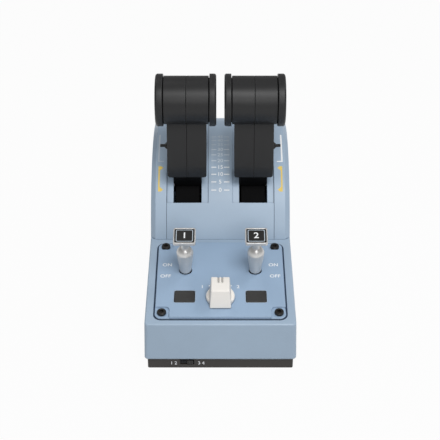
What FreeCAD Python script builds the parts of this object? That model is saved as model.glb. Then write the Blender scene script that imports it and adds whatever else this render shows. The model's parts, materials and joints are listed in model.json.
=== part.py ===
"""Desktop throttle quadrant: two lever throttles over a small engine panel.

Units are millimetres. +X is right, +Y is away from the pilot, +Z is up.
The origin is at the middle of the footprint, on the surface it stands on.
"""
import FreeCAD
import Part
import os
from math import asin, cos, degrees, hypot, radians, sin, sqrt, tan

V = FreeCAD.Vector
X_AXIS = V(1, 0, 0)
Z_AXIS = V(0, 0, 1)
OUT = "parts"

# ---- overall body ----
body_width = 120.0
base_height = 10.0            # top of the black tray, bottom of the painted shell
side_draft = 1.5              # degrees, each side of the lower shell
dome_draft = 0.1              # degrees, each side of the dome above it
front_draft = 1.8             # degrees
rear_draft = 5.6              # degrees
wall = 2.5
corner_radius = 3.0
edge_radius = 1.6
skirt_chamfer = 1.6           # along the painted shell's bottom edge

# ---- sloping panel deck ----
ridge_height = 44.1
panel_length = 100.5
panel_slope = 9.0             # degrees

# ---- dome, concentric with the lever pivot ----
dome_radius = 92.0
dome_foot_angle = 19.6        # degrees above the horizontal at the dome's front foot
cover_half = 45.2             # half width of the centre cover
cheek_chamfer = 3.9
shoulder_radius = 10.0        # round between the dome's arc and its back
shoulder_angle = 66.0         # degrees above the horizontal where that round starts
track_depth = 1.8
track_inner = 10.1            # half width of the raised centre strip
slot_width = 23.6
slot_start = 39.0             # degrees round the pivot
slot_end = 103.0
cover_gap = 0.15

# ---- levers ----
lever_offset = 27.7           # lever centre from the middle plane
shaft_radius = 4.0
running_fit = 0.05
hub_radius = 12.0
hub_width = 34.0
arm_width = 22.0
arm_front_angle = 50.0        # degrees, at rest
arm_span = 10.0               # degrees of dome that the arm fills
arm_top_radius = 101.8        # top of the arm's block, just under the grip
neck_foot_radius = 103.2      # underside of the neck
shutter_reach = 13.5          # degrees that the shutter covers ahead of the arm
drum_radius = 55.0            # second shutter, deep behind the arm
drum_half = 16.0
drum_reach = 41.0
knob_forward = 56.5           # knob axis ahead of the pivot axis
knob_rise = 145.8             # knob axis above the pivot axis
flange_radius = 21.35
barrel_radius = 19.7
barrel_length = 36.4
flange_width = 5.6
outer_flange_width = 6.1
flange_chamfer = 1.1
groove_width = 0.6
groove_depth = 1.6
neck_width = 32.3
seam_gap = 0.12
button_radius = 8.0
button_length = 7.0
chin_radius = 2.4             # round along the underside of the neck
latch_height = 4.3
latch_depth = 5.2
latch_reach = 6.1
latch_tip_height = 1.5
latch_tip_depth = 3.2
latch_drop = 40.0             # latch below the knob axis
detent_radius = 68.0
detent_steps = (-10.0, 0.0, 20.0, 29.0, 38.0)   # lever angles with a notch
notch_size = 2.2
bracket_thickness = 4.0
latch_travel = 5.0
slide_clearance = 0.15

# ---- panel plate and controls ----
plate_half = 51.4
plate_near = 6.0
plate_far = 94.5
plate_thickness = 2.5
ear_thickness = 0.8
screw_near = 11.6
screw_far = 89.2
screw_near_x = 46.0
screw_far_x = 45.3
notch_radius = 6.0
notch_far_radius = 4.1        # in front of the far screws
notch_corner = 3.5
plate_corner = 5.0
plate_overlap = 0.2           # how far the plate covers the groove
plate_groove = 1.2            # groove in the deck round the plate
plate_groove_depth = 1.6
screw_head_radius = 3.6
screw_head_height = 2.4
screw_shank_radius = 2.0
screw_length = 9.0

toggle_x = 28.3
toggle_along = 59.4
toggle_pivot_depth = 4.0
toggle_tilt = 6.0             # degrees towards the pilot at rest
toggle_lift = 3.0
toggle_height = 44.6
toggle_shaft_radius = 3.0
skirt_gap = 1.0               # under the sleeve, so that it clears the plate at every tilt
skirt_radius = 3.6            # foot of the sleeve
belly_radius = 5.2            # sleeve a little above its foot
shoulder_size = 6.75          # largest radius of the sleeve
waist_radius = 3.0            # round the stem just under the tile
opening_half = 5.2            # the plate's toggle openings: half width, and reach near and far
opening_near = 4.3
opening_far = 4.8
opening_corner = 4.2
tile_width = 17.6
tile_depth = 17.0
tile_thickness = 3.0
tile_border_x = 0.95
tile_border_y = 1.15

selector_along = 27.2
selector_radius = 11.4
selector_disc_height = 3.0
selector_height = 15.0
selector_shaft_radius = 3.0

button_x = 28.4
button_along = 28.6
button_width = 15.8
button_depth = 12.8
cap_gap = 0.4
cap_travel = 1.0

# ---- base tray ----
tray_inset = 2.4
tray_gap = 0.25               # between the tray's rim and the shell
tray_bottom = 0.4
tray_chamfer = 0.6
tray_floor = 3.0
tray_rise = 3.0               # how far its wall stands inside the shell
foot_radius = 8.0
foot_inset = 15.0
insert_x = 40.0
insert_spacing = 150.0
insert_outer = 3.2
insert_bore = 1.65
insert_length = 8.0
post_x = 50.0
post_radius = 4.0
slide_window_x = -26.4
slide_window_width = 11.0
slide_window_height = 5.0
slide_window_z = 6.6
slide_tab_width = 4.4
slide_tab_height = 3.4
slide_travel = 5.0

# ---- places worked out from the sizes above ----
slope = radians(panel_slope)
foot_z = ridge_height + panel_length * sin(slope)
pivot_z = foot_z - dome_radius * sin(radians(dome_foot_angle))
dome_top = pivot_z + dome_radius
ridge_setback = (ridge_height - base_height) * tan(radians(front_draft))
pivot_setback = ridge_setback + panel_length * cos(slope) + dome_radius * cos(radians(dome_foot_angle))
shoulder_reach = (dome_radius - shoulder_radius) * cos(radians(shoulder_angle))
shoulder_z = pivot_z + (dome_radius - shoulder_radius) * sin(radians(shoulder_angle))
back_reach = shoulder_radius / cos(radians(rear_draft))
back_reach += (shoulder_z - base_height) * tan(radians(rear_draft))
body_length = pivot_setback + shoulder_reach + back_reach
front_y = -body_length / 2
rear_y = body_length / 2
ridge_y = front_y + ridge_setback
foot_y = ridge_y + panel_length * cos(slope)
pivot_y = front_y + pivot_setback
shoulder_y = pivot_y + shoulder_reach
knob_y = pivot_y - knob_forward
bracket_x = lever_offset + hub_width / 2 + 1.5
arm_rest_angle = arm_front_angle + arm_span / 2
detent_angles = [arm_rest_angle + step for step in detent_steps]
knob_z = pivot_z + knob_rise
neck_front_top = (knob_y - 7.9, knob_z - 14)
neck_front_low = (knob_y - 14.8, knob_z - 52.5)
neck_rear_top = (knob_y + 11.5, knob_z - 10)
latch_y = knob_y - 3.0
latch_z = knob_z - latch_drop
half_width = body_width / 2
big = 2 * body_length


# ---------------------------------------------------------------- helpers
def save(name, *solids):
    """Write one node: a single solid, or a group of separate ones."""
    shape = solids[0] if len(solids) == 1 else Part.makeCompound(list(solids))
    shape.exportStep(os.path.join(OUT, name + ".step"))
    print(name, round(sum(s.Volume for s in solids) / 1000, 2), "cm3")


def outline(points, place):
    """Close a wire through 2D points; a pair of points is an arc through the first to the second."""
    edges = []
    here = points[0]
    for step in points[1:] + [points[0]]:
        if isinstance(step[0], tuple):
            middle, end = step
            edges.append(Part.Arc(place(*here), place(*middle), place(*end)).toShape())
        else:
            end = step
            if hypot(end[0] - here[0], end[1] - here[1]) < 1e-6:
                continue
            edges.append(Part.makeLine(place(*here), place(*end)))
        here = end
    return Part.Wire(edges)


def side_prism(points, x0, x1):
    """Extrude a (y, z) outline from x0 to x1."""
    wire = outline(points, lambda y, z: V(x0, y, z))
    return Part.Face(wire).extrude(V(x1 - x0, 0, 0))


def plan_prism(points, z0, z1):
    """Extrude an (x, y) outline from z0 to z1."""
    wire = outline(points, lambda x, y: V(x, y, z0))
    return Part.Face(wire).extrude(V(0, 0, z1 - z0))


def box(x0, x1, y0, y1, z0, z1):
    return Part.makeBox(x1 - x0, y1 - y0, z1 - z0, V(x0, y0, z0))


def rounded(x0, x1, y0, y1, r):
    """A rounded rectangle as outline() points."""
    k = r * (1 - sqrt(0.5))
    return [
        (x0 + r, y0), (x1 - r, y0), ((x1 - k, y0 + k), (x1, y0 + r)),
        (x1, y1 - r), ((x1 - k, y1 - k), (x1 - r, y1)),
        (x0 + r, y1), ((x0 + k, y1 - k), (x0, y1 - r)),
        (x0, y0 + r), ((x0 + k, y0 + k), (x0 + r, y0)),
    ]


def side_reach(z):
    """Half width of the body at a height; the dome's sides stand straighter than the shell's."""
    below = min(z, foot_z) - base_height
    above = max(z - foot_z, 0)
    return half_width - below * tan(radians(side_draft)) - above * tan(radians(dome_draft))


def drafted_block(z0, z1, inset=0.0):
    """The body's drafted walls between two heights, moved in by an inset."""
    wires = []
    for z in (z0, z1):
        rise = z - base_height
        x = side_reach(z) - inset
        y0 = front_y + rise * tan(radians(front_draft)) + inset
        y1 = rear_y - rise * tan(radians(rear_draft)) - inset
        wires.append(outline([(-x, y0), (x, y0), (x, y1), (-x, y1)], lambda a, b, h=z: V(a, b, h)))
    block = Part.makeLoft(wires, True, True)
    if inset > 0:
        return block
    return softened(block, corner_radius, lambda e: e.BoundBox.ZLength > 0.9 * (z1 - z0))


def polar(r, angle):
    """(y, z) at a radius and an angle above the horizontal, on the pilot's side of the pivot."""
    a = radians(angle)
    return (pivot_y - r * cos(a), pivot_z + r * sin(a))


def ring_sector(r0, r1, a0, a1, x0, x1):
    """A curved plate about the pivot."""
    mid = (a0 + a1) / 2
    points = [
        polar(r0, a0), polar(r1, a0), (polar(r1, mid), polar(r1, a1)),
        polar(r0, a1), (polar(r0, mid), polar(r0, a0)),
    ]
    return side_prism(points, x0, x1)


def rod(r, x0, x1, y, z):
    """A cylinder along X."""
    return Part.makeCylinder(r, x1 - x0, V(x0, y, z), X_AXIS)


def on_panel(shape):
    """Move a shape from panel axes (x, along, height) to the body."""
    moved = shape.copy()
    moved.rotate(V(0, 0, 0), X_AXIS, panel_slope)
    moved.translate(V(0, ridge_y, ridge_height))
    return moved


def mirrored(shape):
    return shape.mirror(V(0, 0, 0), X_AXIS)


def edges_where(shape, test):
    return [e for e in shape.Edges if test(e)]


def softened(shape, radius, test):
    """Fillet the edges that pass a test."""
    return shape.makeFillet(radius, edges_where(shape, test))


def spans_x(edge, least):
    return edge.BoundBox.XLength > least and edge.BoundBox.YLength < 0.01


# ---------------------------------------------------------------- base
def make_tray():
    """Black base tray with feet pockets, insert bosses, screw holes and the slide window."""
    top = base_height + tray_rise
    tray = outer_plan(tray_inset, tray_bottom, base_height)
    tray = tray.makeChamfer(tray_chamfer, edges_where(tray, lambda e: e.BoundBox.ZMax < tray_bottom + 0.01))
    tray = tray.fuse(drafted_block(base_height, top, wall + tray_gap))
    inner = drafted_block(tray_bottom + tray_floor, top + 1, tray_inset + wall)
    tray = tray.cut(inner)
    for x, y in insert_places():
        tray = tray.fuse(Part.makeCylinder(insert_outer + 2, insert_length + 1, V(x, y, tray_bottom)))
        tray = tray.cut(Part.makeCylinder(insert_outer, insert_length + 2, V(x, y, tray_bottom - 1)))
    for x, y in post_places():
        tray = tray.cut(Part.makeCylinder(1.8, 20, V(x, y, 0)))
        tray = tray.cut(Part.makeCylinder(3.4, 1.5, V(x, y, tray_bottom)))
    for x, y in foot_places():
        tray = tray.cut(Part.makeCylinder(foot_radius, 1.0, V(x, y, tray_bottom)))
    for x, y in board_posts():
        tray = tray.fuse(Part.makeCylinder(3, 5, V(x, y, tray_bottom + tray_floor - 0.5)))
    window = box(
        slide_window_x - slide_window_width / 2, slide_window_x + slide_window_width / 2,
        front_y - 5, front_y + tray_inset + wall + 1,
        slide_window_z - slide_window_height / 2, slide_window_z + slide_window_height / 2)
    tray = tray.cut(window)
    port = box(-6, 6, rear_y - tray_inset - wall - 1, rear_y + 5, 4.6, 9.4)
    return tray.cut(port).removeSplitter()


def outer_plan(inset, z0, z1):
    x = half_width - inset
    corner = max(corner_radius - inset, 1.2)
    return plan_prism(rounded(-x, x, front_y + inset, rear_y - inset, corner), z0, z1)


def insert_places():
    return [(sx * insert_x, sy * insert_spacing / 2) for sx in (-1, 1) for sy in (-1, 1)]


def post_places():
    ys = (front_y + 13, 0, rear_y - 17)
    return [(sx * post_x, y) for sx in (-1, 1) for y in ys]


def foot_places():
    x = half_width - foot_inset - 3
    y = body_length / 2 - foot_inset - 14
    return [(sx * x, sy * y) for sx in (-1, 1) for sy in (-1, 1)]


def board_posts():
    return [(sx * 28, front_y + y) for sx in (-1, 1) for y in (36, 86)]


def make_feet():
    feet = []
    for x, y in foot_places():
        feet.append(Part.makeCylinder(foot_radius - 0.1, tray_bottom + 1.0, V(x, y, 0)))
    return feet


def make_inserts():
    inserts = []
    for x, y in insert_places():
        body = Part.makeCylinder(insert_outer, insert_length, V(x, y, tray_bottom))
        inserts.append(body.cut(Part.makeCylinder(insert_bore, insert_length + 2, V(x, y, 0))))
    return inserts


def make_base_screws():
    screws = []
    for x, y in post_places():
        head = Part.makeCylinder(3.2, 1.4, V(x, y, tray_bottom + 0.1))
        shank = Part.makeCylinder(1.5, 9, V(x, y, tray_bottom + 1.4))
        screws.append(head.fuse(shank))
    return screws


# ---------------------------------------------------------------- painted shell
def deck_line(drop):
    """Panel deck end points, moved down square to the deck."""
    dy = drop * sin(slope)
    dz = drop * cos(slope)
    return (ridge_y + dy, ridge_height - dz), (foot_y + dy, foot_z - dz)


def make_lower_shell():
    """Painted lower shell: drafted walls, sloping deck, open under the dome."""
    block = drafted_block(base_height, foot_z)
    lowest = edges_where(block, lambda e: e.BoundBox.ZMax < base_height + 0.01)
    block = block.makeChamfer(skirt_chamfer, lowest)
    ridge, foot = deck_line(0)
    sky = side_prism([
        (front_y - 9, ridge[1]), ridge, foot, (foot[0], foot_z + 30), (front_y - 9, foot_z + 30)], -big, big)
    shell = block.cut(sky)
    at_ridge = lambda e: spans_x(e, corner_radius * 9) and abs(e.BoundBox.ZMin - ridge_height) < 0.01
    shell = softened(shell, edge_radius, at_ridge)
    inner_ridge, inner_foot = deck_line(wall)
    rim = foot_y + 1.5
    room = side_prism([
        (front_y - 9, base_height - 1), (front_y - 9, inner_ridge[1]), inner_ridge, inner_foot,
        (rim, inner_foot[1]), (rim, foot_z + 9), (rear_y + 9, foot_z + 9), (rear_y + 9, base_height - 1),
    ], -big, big)
    shell = shell.cut(drafted_block(base_height - 1, foot_z + 9, wall).common(room))
    opening = plan_prism(rounded(-42, 42, screw_near + 5, screw_far - 5, 4), -30, 30)
    shell = shell.cut(on_panel(opening))
    outer = plate_outline(plate_groove)
    inner = plate_outline(-plate_overlap)
    groove = plan_prism(outer, -plate_groove_depth, 9).cut(plan_prism(inner, -plate_groove_depth - 1, 9))
    shell = shell.cut(on_panel(groove))
    for x, y in post_places():
        shell = shell.fuse(shell_post(x, y))
    for sx in (-1, 1):
        for x, along in panel_screw_places(sx):
            boss = Part.makeCylinder(4.2, screw_length + 1 - wall + 0.5, V(x, along, -screw_length - 1))
            shell = shell.fuse(on_panel(boss))
            hole = Part.makeCylinder(screw_shank_radius, screw_length + 2, V(x, along, -screw_length))
            shell = shell.cut(on_panel(hole))
    port = box(-6, 6, rear_y - 12, rear_y + 5, base_height - 1, base_height + 0.01)
    return shell.cut(port).removeSplitter()


def shell_post(x, y):
    """Screw post that stands on the tray floor, ribbed to the side wall."""
    top = 34.0
    post = Part.makeCylinder(post_radius, top - tray_bottom - tray_floor, V(x, y, tray_bottom + tray_floor))
    x0, x1 = sorted((x, (half_width - 2.0) * (1 if x > 0 else -1)))
    rib = box(x0, x1, y - 1.2, y + 1.2, base_height + tray_rise + 0.5, top)
    pilot = Part.makeCylinder(1.5, 10, V(x, y, tray_bottom + tray_floor - 1))
    return post.fuse(rib).cut(pilot)


def dome_profile(inset):
    """Side outline of the dome: the arc about the pivot, a round shoulder, the leaning back."""
    big_r = dome_radius - inset
    small_r = shoulder_radius - inset
    lean = radians(rear_draft)
    up = radians(shoulder_angle)
    start, middle, end = [(shoulder_y + small_r * cos(a), shoulder_z + small_r * sin(a))
                          for a in (up, (up + lean) / 2, lean)]
    low = foot_z if inset == 0 else foot_z - 5
    first = degrees(asin((low - pivot_z) / big_r))
    last = 180 - shoulder_angle
    heel = rear_y - inset - (low - base_height) * tan(lean)
    front_arc = (polar(big_r, (first + last) / 2), start)
    return [polar(big_r, first), front_arc, (middle, end), (heel + 3, low - 0.01)]


def dome_solid(inset=0.0):
    """The dome above the lower shell, without its split lines."""
    floor = foot_z if inset == 0 else foot_z - 5
    block = drafted_block(floor, dome_top + 5, inset)
    return block.common(side_prism(dome_profile(inset), -big, big))


def make_dome():
    """Return the centre cover and the right cheek of the dome skin."""
    skin = dome_solid().cut(dome_solid(wall))
    middle = skin.common(box(-cover_half, cover_half, -big, big, 0, 300))
    cheek = skin.common(box(cover_half + cover_gap, big, -big, big, 0, 300))
    return middle, cheek.cut(cheek_bevel())


def cheek_bevel():
    """Ring swept round the pivot that takes the outer corner off a cheek."""
    x_in = side_reach(dome_top) - cheek_chamfer
    drop = cheek_chamfer + 4.0
    points = [(x_in, dome_radius), (x_in + drop, dome_radius - drop), (x_in + drop, dome_radius + 4),
              (x_in, dome_radius + 4)]
    section = outline(points, lambda x, r: V(x, pivot_y, pivot_z + r))
    return Part.Face(section).revolve(V(0, pivot_y, pivot_z), X_AXIS, 360)


def make_cover(middle):
    """Centre cover: raised strip, two sunk tracks, a slot along each."""
    floor = dome_radius - track_depth
    plate = ring_sector(floor - wall, floor, slot_start - 3, slot_end + 3, -cover_half, cover_half)
    cover = middle.fuse(plate)
    for sx in (-1, 1):
        x0, x1 = sorted((sx * track_inner, sx * (cover_half + 1)))
        cover = cover.cut(ring_sector(floor, dome_radius + 9, slot_start, slot_end, x0, x1))
        middle_x = sx * lever_offset
        slot = ring_sector(dome_radius - 12, dome_radius + 9, slot_start, slot_end - 2,
                           middle_x - slot_width / 2, middle_x + slot_width / 2)
        cover = cover.cut(slot)
    return cover.removeSplitter()


# ---------------------------------------------------------------- pivot and detents
def make_side_bracket():
    """Right bracket: foot flange, shaft bore and a notched detent sector above."""
    x0 = bracket_x
    x1 = bracket_x + bracket_thickness
    floor = tray_bottom + tray_floor
    web = side_prism([(pivot_y - 22, floor), (pivot_y + 22, floor), polar(detent_radius - 6, 104),
                      (polar(detent_radius - 6, 70), polar(detent_radius - 6, 36))], x0, x1)
    rim = ring_sector(detent_radius - 8, detent_radius, 36, 104, x0, x1)
    flange = box(x0, x1 + 4.3, pivot_y - 22, pivot_y + 22, floor, floor + 2.5)
    plate = web.fuse([rim, flange])
    for angle in detent_angles:
        y, z = polar(detent_radius, angle)
        plate = plate.cut(rod(notch_size, x0 - 1, x1 + 1, y, z))
    plate = plate.cut(rod(shaft_radius, x0 - 1, x1 + 1, pivot_y, pivot_z))
    return plate.removeSplitter()


def make_centre_bracket():
    """Middle post that carries the shaft between the two hubs."""
    half = lever_offset - hub_width / 2 - 1.5
    floor = tray_bottom + tray_floor
    post = side_prism([(pivot_y - 16, floor), (pivot_y + 16, floor), (pivot_y + 10, pivot_z),
                       ((pivot_y, pivot_z + 10), (pivot_y - 10, pivot_z))], -half + 3, half - 3)
    sleeve = rod(8, -half, half, pivot_y, pivot_z)
    flange = box(-half, half, pivot_y - 22, pivot_y + 22, floor, floor + 2.5)
    bracket = post.fuse([sleeve, flange])
    return bracket.cut(rod(shaft_radius, -half - 1, half + 1, pivot_y, pivot_z)).removeSplitter()


def make_friction_washers():
    washers = []
    for x in (lever_offset - hub_width / 2, lever_offset + hub_width / 2):
        inner = x < lever_offset
        x0 = x - 1.45 if inner else x + 0.05
        ring = rod(9.5, x0, x0 + 1.4, pivot_y, pivot_z)
        ring = ring.cut(rod(shaft_radius + 0.2, x0 - 1, x0 + 3, pivot_y, pivot_z))
        washers += [ring, mirrored(ring)]
    return washers


def make_sensor():
    """Angle sensor cap over the right end of the shaft."""
    x0 = bracket_x + bracket_thickness
    body = rod(9, x0, x0 + 3.6, pivot_y, pivot_z)
    ears = box(x0, x0 + 1.6, pivot_y - 14, pivot_y + 14, pivot_z - 3.5, pivot_z + 3.5)
    cap = body.fuse(ears)
    return cap.cut(rod(shaft_radius + 0.1, x0 - 1, x0 + 2.2, pivot_y, pivot_z)).removeSplitter()


# ---------------------------------------------------------------- lever
def tongue_solid():
    """Tongue on top of the arm that the two grip halves close on."""
    base = arm_top_radius - 2
    rear = arm_front_angle + arm_span
    return side_prism([polar(base, arm_front_angle + 3), polar(base, rear - 2),
                       (knob_y + 6, knob_z - 26), (knob_y - 3, knob_z - 26)], -6, 6)


def make_arm():
    """Lever arm at x = 0: hub, web, the block that fills the slot, and the tongue for the grip."""
    hub = rod(hub_radius, -hub_width / 2, hub_width / 2, pivot_y, pivot_z)
    top = arm_top_radius
    rear = arm_front_angle + arm_span
    web = side_prism([polar(hub_radius - 4, arm_front_angle - 60), polar(hub_radius - 4, rear + 60),
                      polar(top, rear), polar(top, arm_front_angle)], -arm_width / 2, arm_width / 2)
    tongue = tongue_solid()
    arm = hub.fuse([web, tongue])
    for side in (-1, 1):
        pocket = ring_sector(hub_radius + 10, dome_radius - 22, arm_front_angle + 1, rear - 1,
                             side * (arm_width / 2 - 7), side * (arm_width / 2 + 1))
        arm = arm.cut(pocket)
    bore = rod(shaft_radius + running_fit, -hub_width, hub_width, pivot_y, pivot_z)
    return arm.cut(bore).removeSplitter()


def neck_outline():
    """Side view of the neck: front face, chin, underside and back."""
    chin = polar(neck_foot_radius, arm_front_angle + 0.1)
    heel = polar(neck_foot_radius - 0.4, arm_front_angle + arm_span + 4.3)
    return [(knob_y, knob_z), neck_front_top, neck_front_low, chin, heel,
            (heel[0] + 2.5, heel[1] + 9), neck_rear_top]


def joins(edge, start, end):
    """True for an edge along the body whose ends lie at two side-view points."""
    low, high = edge.BoundBox.YMin, edge.BoundBox.YMax
    return edge.BoundBox.XLength < 0.01 and abs(low - start[0]) < 0.01 and abs(high - end[0]) < 0.01


def make_grip():
    """Both halves of the grip at x = 0: barrel and neck, split on the middle plane."""
    half = neck_width / 2
    neck = side_prism(neck_outline(), -half, half)
    chin, heel = neck_outline()[3:5]
    neck = neck.makeFillet(chin_radius, edges_where(neck, lambda e: joins(e, chin, heel)))
    barrel = rod(barrel_radius, -barrel_length / 2, barrel_length / 2, knob_y, knob_z)
    core = rod(barrel_radius - groove_depth, -barrel_length / 2 - groove_width,
               barrel_length / 2 + groove_width, knob_y, knob_z)
    grip = neck.fuse([barrel, core])
    grip = grip.cut(tongue_solid())
    reach = barrel_length / 2 + groove_width
    grip = grip.cut(rod(button_radius + 1, reach - 12, reach + 1, knob_y, knob_z))
    grip = grip.cut(latch_room())
    outer = grip.common(box(seam_gap / 2, big, -big, big, 0, 400))
    inner = grip.common(box(-big, -seam_gap / 2, -big, big, 0, 400))
    return outer.removeSplitter(), inner.removeSplitter()


def latch_room():
    """Slot in the neck's outer side for the latch and its slider."""
    half = neck_width / 2
    gap = slide_clearance
    mouth = box(half - 4, half + 1, latch_y - latch_depth / 2 - gap, latch_y + latch_depth / 2 + gap,
                latch_z - latch_height / 2 - gap, latch_z + latch_height / 2 + latch_travel + gap)
    rail = box(half - 6 - gap, half - 3, latch_y - 6 - gap, latch_y + 6 + gap,
               latch_z - 5 - gap, latch_z + 5 + latch_travel + gap)
    return mouth.fuse(rail)


def make_latch():
    """Reverse latch: a finger tab with a flared root on a hidden slider."""
    half = neck_width / 2
    slider = box(half - 6, half - 3.2, latch_y - 6, latch_y + 6, latch_z - 5, latch_z + 5)
    stem = box(half - 3.3, half + 0.2, latch_y - latch_depth / 2, latch_y + latch_depth / 2,
               latch_z - latch_height / 2, latch_z + latch_height / 2)
    front = flared(half, latch_height, latch_tip_height, lambda x, w: V(x, latch_y - 9, latch_z + w))
    plan = flared(half, latch_depth, latch_tip_depth, lambda x, w: V(x, latch_y + w, latch_z - 9))
    tab = Part.Face(front).extrude(V(0, 18, 0)).common(Part.Face(plan).extrude(V(0, 0, 18)))
    return slider.fuse([stem, tab]).removeSplitter()


def flared(x, root, tip, place):
    """Outline of a finger that narrows quickly from its root and ends square."""
    end = x + latch_reach
    points = [(x + 0.1, -root / 2), (x + 0.9, -root / 2), (x + 2.4, -tip / 2), (end, -tip / 2),
              (end, tip / 2), (x + 2.4, tip / 2), (x + 0.9, root / 2), (x + 0.1, root / 2)]
    return outline(points, place)


def make_flange(outer):
    """Knob end ring; the outer one has the bore for the disconnect button."""
    x0 = barrel_length / 2 + groove_width
    x1 = x0 + (outer_flange_width if outer else flange_width)
    disc = rod(flange_radius, x0, x1, knob_y, knob_z)
    rim = edges_where(disc, lambda e: e.BoundBox.XLength < 0.01 and e.BoundBox.XMin > x1 - 0.01)
    disc = disc.makeChamfer(flange_chamfer, rim)
    if outer:
        disc = disc.cut(rod(button_radius + slide_clearance, x0 - 1, x1 + 1, knob_y, knob_z))
    return disc


def make_disconnect():
    """Disconnect button, a little below the knob's outer end."""
    x1 = barrel_length / 2 + groove_width + outer_flange_width - 0.5
    return rod(button_radius, x1 - button_length, x1, knob_y, knob_z)


def make_dust_sector(arm):
    """Curved shutter that rides with the arm just under the slot, ahead of it."""
    r1 = dome_radius - track_depth - wall - 1.0
    first = arm_front_angle - shutter_reach
    front = ring_sector(r1 - 3, r1, first, arm_front_angle + 2, -10, 10)
    end = ring_sector(r1 - 7, r1, first, first + 1.5, -10, 10)
    return front.fuse(end).cut(arm).removeSplitter()


def make_dust_drum(arm):
    """Deeper shutter behind the arm, which still clears the back wall at full travel."""
    rear = arm_front_angle + arm_span
    end = rear + drum_reach
    skin = ring_sector(drum_radius - 3, drum_radius, rear - 2, end, -drum_half, drum_half)
    lip = ring_sector(drum_radius - 8, drum_radius, end - 2, end, -drum_half, drum_half)
    rib = ring_sector(drum_radius - 8, drum_radius - 2, rear - 2, end, -1.5, 1.5)
    return skin.fuse([lip, rib]).cut(arm).removeSplitter()


def make_follower():
    """Roller and pin beside the arm, just clear of the detent sector."""
    x0 = arm_width / 2
    x1 = bracket_x - lever_offset + bracket_thickness
    y, z = polar(detent_radius + 2.4, arm_front_angle + arm_span / 2)
    pin = rod(1.2, x0, x1, y, z)
    roller = rod(2.0, bracket_x - lever_offset + 0.3, x1, y, z)
    return pin.fuse(roller).removeSplitter()


def place_lever(shape, sx):
    """Move a lever piece from x = 0 to its side; the left lever is the right one mirrored."""
    moved = shape.copy()
    moved.translate(V(lever_offset, 0, 0))
    return moved if sx > 0 else mirrored(moved)


# ---------------------------------------------------------------- panel plate
def make_plate():
    """Engine panel: raised plate with screw ears, control openings and a bevelled edge."""
    blank = plan_prism(plate_outline(0), 0, plate_thickness)
    top = edges_where(blank, lambda e: e.BoundBox.ZMin > plate_thickness - 0.01)
    blank = blank.makeChamfer(0.5, top)
    for sx in (-1, 1):
        for (x, along), sy, reach in zip(panel_screw_places(sx), (-1, 1), (notch_radius, notch_far_radius)):
            blank = blank.cut(screw_notch(x, along, sx, sy, reach))
            blank = blank.cut(Part.makeCylinder(screw_shank_radius + 0.1, 9, V(x, along, -3)))
        blank = blank.cut(toggle_opening(sx * toggle_x))
        x = sx * button_x
        half_x = button_width / 2 + cap_gap
        half_y = button_depth / 2 + cap_gap
        ring = rounded(x - half_x, x + half_x, button_along - half_y, button_along + half_y, 1.3)
        blank = blank.cut(plan_prism(ring, -3, 9))
    return blank.cut(Part.makeCylinder(selector_shaft_radius + 0.4, 20, V(0, selector_along, -9)))


def plate_outline(grow):
    """Rounded outline of the plate on the deck, grown by a margin."""
    half = plate_half + grow
    return rounded(-half, half, plate_near - grow, plate_far + grow, plate_corner + grow)


def panel_screw_places(sx):
    """Near and far panel screw on one side."""
    return [(sx * screw_near_x, screw_near), (sx * screw_far_x, screw_far)]


def screw_notch(x, along, sx, sy, reach):
    """Round-cornered pocket, open towards the plate's corner, that leaves a thin ear."""
    edge_x = x - sx * notch_radius
    edge_y = along - sy * reach
    x0, x1 = sorted((edge_x, sx * (plate_half + 2)))
    y0, y1 = sorted((edge_y, along + sy * 20))
    pocket = box(x0, x1, y0, y1, ear_thickness, 9)
    upright = edges_where(pocket, lambda e: e.BoundBox.ZLength > 5 and abs(e.BoundBox.XMin - edge_x) < 0.01
                          and abs(e.BoundBox.YMin - edge_y) < 0.01)
    return pocket.makeFillet(notch_corner, upright)


def toggle_opening(x):
    """Slot that the toggle's shaft swings in."""
    return plan_prism(rounded(x - opening_half, x + opening_half, toggle_along - opening_near,
                              toggle_along + opening_far, opening_corner), -3, 9)


def make_panel_screws():
    screws = []
    for sx in (-1, 1):
        for x, along in panel_screw_places(sx):
            head = Part.makeCylinder(screw_head_radius, screw_head_height, V(x, along, ear_thickness))
            tip = V(x, along, ear_thickness - screw_length)
            shank = Part.makeCylinder(screw_shank_radius - 0.05, screw_length, tip)
            screws.append(on_panel(head.fuse(shank)))
    return screws


# ---------------------------------------------------------------- engine toggles
def toggle_frame(shape, x):
    """Place a toggle piece modelled upright about its tilt axis."""
    moved = shape.copy()
    moved.rotate(V(0, 0, 0), X_AXIS, toggle_tilt)
    moved.translate(V(x, toggle_along, -toggle_pivot_depth))
    return on_panel(moved)


def make_toggle_body(x):
    """Switch case under the deck, open at the top for the yoke."""
    case = box(-8, 8, -11, 11, -14, toggle_pivot_depth)
    room = box(-4.6, 4.6, -8, 8, -9, 9)
    axle = rod(2.1, -5.6, 5.6, 0, 0)
    case = case.cut(room).cut(axle)
    moved = case.copy()
    moved.translate(V(x, toggle_along, -toggle_pivot_depth))
    return on_panel(moved)


def make_toggle_yoke():
    """Tilting shaft with its cross pin."""
    pin = rod(2.05, -5.5, 5.5, 0, 0)
    shaft = Part.makeCylinder(toggle_shaft_radius, 22, V(0, 0, 0))
    ball = Part.makeSphere(4.2, V(0, 0, 0))
    return ball.fuse([pin, shaft]).removeSplitter()


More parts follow.
